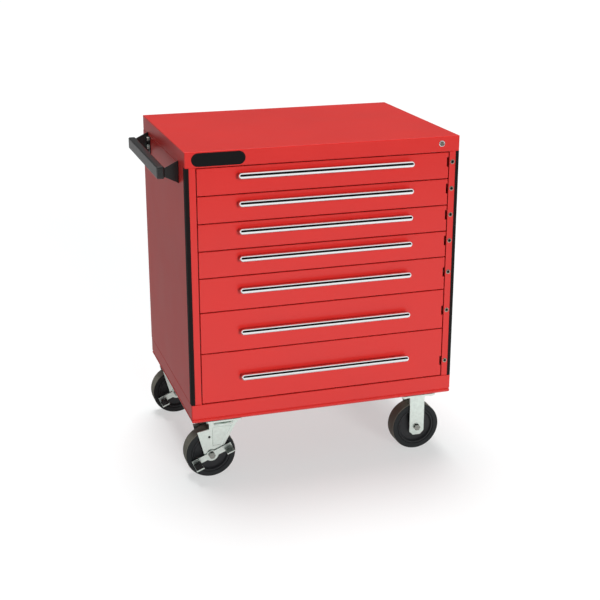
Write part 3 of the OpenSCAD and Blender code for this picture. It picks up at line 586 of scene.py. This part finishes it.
# Latches: a chromed ferrule pressed into the right post beside each drawer.
# A black button slides in each one. Both profiles are in millimetres from the post's face.
flange_rise = 1.5
ferrule = in_metres([
    (4.5, 15.0), (4.5, -1.0), (4.9, -1.4), (6.4, -flange_rise), (7.1, -1.2), (7.5, -0.5),
    (7.5, 0.0), (6.0, 0.0), (6.0, 15.0),
])
button = in_metres([
    (0.0, -1.0), (2.6, -0.95), (3.7, -0.75), (4.3, -0.3), (4.4, 0.2), (4.4, 15.3), (0.0, 15.3),
])
low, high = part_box("latch_ferrules")
latch_x, post_face = (low.x + high.x) / 2, low.y + flange_rise * mm
drawers = range(1, 8)
bm = bmesh.new()
for n in drawers:
    node = "latch_button_%d" % n
    low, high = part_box(node)
    seat = Vector((latch_x, post_face, (low.z + high.z) / 2))
    turned(bm, seat, ferrule, steps=40, ring=True)
    knob = bmesh.new()
    turned(knob, seat, button, steps=40)
    set_down(knob, node + "_turned", satin_black, "latch_%d" % n, "black_plastic", node)
set_down(bm, "latch_ferrules_turned", nickel, "cabinet", "chrome", "latch_ferrules")

# Push handle: a rounded bar along the left side, on two folded brackets with a flange at each end.
# The brackets are sprayed black and held by two bolts each.
black_enamel = finish(
    "black_enamel", linear(30, 29, 29), mottle=0.2, mottle_scale=12.0, roughness=0.3, spread=0.1,
    grain_scale=420.0, relief=0.05, depth=0.0004,
)
bm = eased_copy("push_handle_brackets", radius=0.001, steps=3, shortest=0.008)
set_down(
    bm, "push_handle_brackets_folded", black_enamel, "cabinet", "black_paint", "push_handle_brackets",
)
grip_black = finish(
    "grip_black", linear(20, 21, 22), mottle=0.25, mottle_scale=45.0, roughness=0.34, spread=0.12,
    grain_scale=1400.0, relief=0.12, depth=0.0002, plain=(("Coat Weight", 0.8), ("Coat Roughness", 0.25)),
)
bm = eased_copy("push_handle_grip", radius=0.004, steps=5)
set_down(bm, "push_handle_bar", grip_black, "cabinet", "black_plastic", "push_handle_grip")
bm = eased_copy("push_handle_bolts", radius=0.0006)
set_down(bm, "push_handle_bolts_hex", zinc_plate, "cabinet", "zinc", "push_handle_bolts")

# Slides: three-part telescopic slides of zinc-plated channel, one pair to each drawer.
# The outer parts are fixed to the posts and uprights, and the middle parts run between.
for node in ["slide_channels"] + ["drawer_%d_slides" % n for n in drawers]:
    bm = eased_copy(node, radius=0.0003, shortest=0.3)
    body = frame["nodes"][node]["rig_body"]
    set_down(bm, node + "_rolled", zinc_plate, body, "zinc", node)

# Drawers: a folded double front and a tray, sprayed red in one piece.
# The slides' inner parts are fixed to the tray's sides and stay zinc plated.
# The front's edges are rounded by the fold, and a notch on the right clears the latch.
tray_half, front_depth, on_face = 0.3874, 0.018, 0.00005
for n in drawers:
    node = "drawer_%d" % n
    low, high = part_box(node)
    face, centre = low.y, (low.x + high.x) / 2
    bm = pressed_copy(node)
    rim = [e for e in sharp_edges(bm, shortest=0.004) if max(v.co.y for v in e.verts) < face + on_face]
    ease(bm, rim, radius=0.0014, steps=3)
    slide_low, slide_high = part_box(node + "_slides")
    for panel in bm.faces:
        spot = panel.calc_center_median()
        outside = abs(spot.x - centre) > tray_half and spot.y > face + front_depth
        panel.material_index = int(outside and slide_low.z < spot.z < slide_high.z)
    drawer = set_down(bm, node + "_folded", red_enamel, node, "red_paint", node)
    drawer.data.materials.append(zinc_plate)

# Pulls: half-round chromed bars with round ends, standing off the drawer fronts on two posts.
# A screw from behind the front holds each post.
post_half_pitch, post_r, post_sink = 0.24, 0.005, 0.003
end_turns = [math.radians(11.25 * step) for step in range(9)]
for n in drawers:
    node = "drawer_%d_pull" % n
    low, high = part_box(node)
    radius, face = (high.z - low.z) / 2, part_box("drawer_%d" % n)[0].y
    back = Vector(((low.x + high.x) / 2, low.y + radius, (low.z + high.z) / 2))
    half = (high.x - low.x) / 2
    bar = [(-half + radius - radius * math.cos(a), radius * math.sin(a)) for a in end_turns]
    bar += [(half - radius + radius * math.sin(a), radius * math.cos(a)) for a in end_turns]
    bm = bmesh.new()
    points = [bm.verts.new(back + Vector((x, 0, -r))) for x, r in bar]
    lines = [bm.edges.new(pair) for pair in zip(points, points[1:])]
    bmesh.ops.spin(
        bm, geom=points + lines, cent=back, axis=(1, 0, 0), dvec=(0, 0, 0), angle=-math.pi,
        steps=28, use_merge=False, use_normal_flip=False, use_duplicate=False,
    )
    bmesh.ops.remove_doubles(bm, verts=bm.verts, dist=0.000001)
    bmesh.ops.edgeloop_fill(bm, edges=[e for e in bm.edges if e.is_boundary])
    bmesh.ops.recalc_face_normals(bm, faces=bm.faces)
    ease(bm, sharp_edges(bm, shortest=0.002), radius=0.0006, steps=2)
    sunk_end = back.y - face - post_sink
    post = [(0.0, sunk_end), (post_r, sunk_end), (post_r, 0.0), (0.0, 0.0)]
    for side in (-post_half_pitch, post_half_pitch):
        turned(bm, Vector((back.x + side, face, back.z)), post, steps=32)
    set_down(bm, node + "_bar", chrome_bright, "drawer_%d" % n, "chrome", node)

low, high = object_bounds()
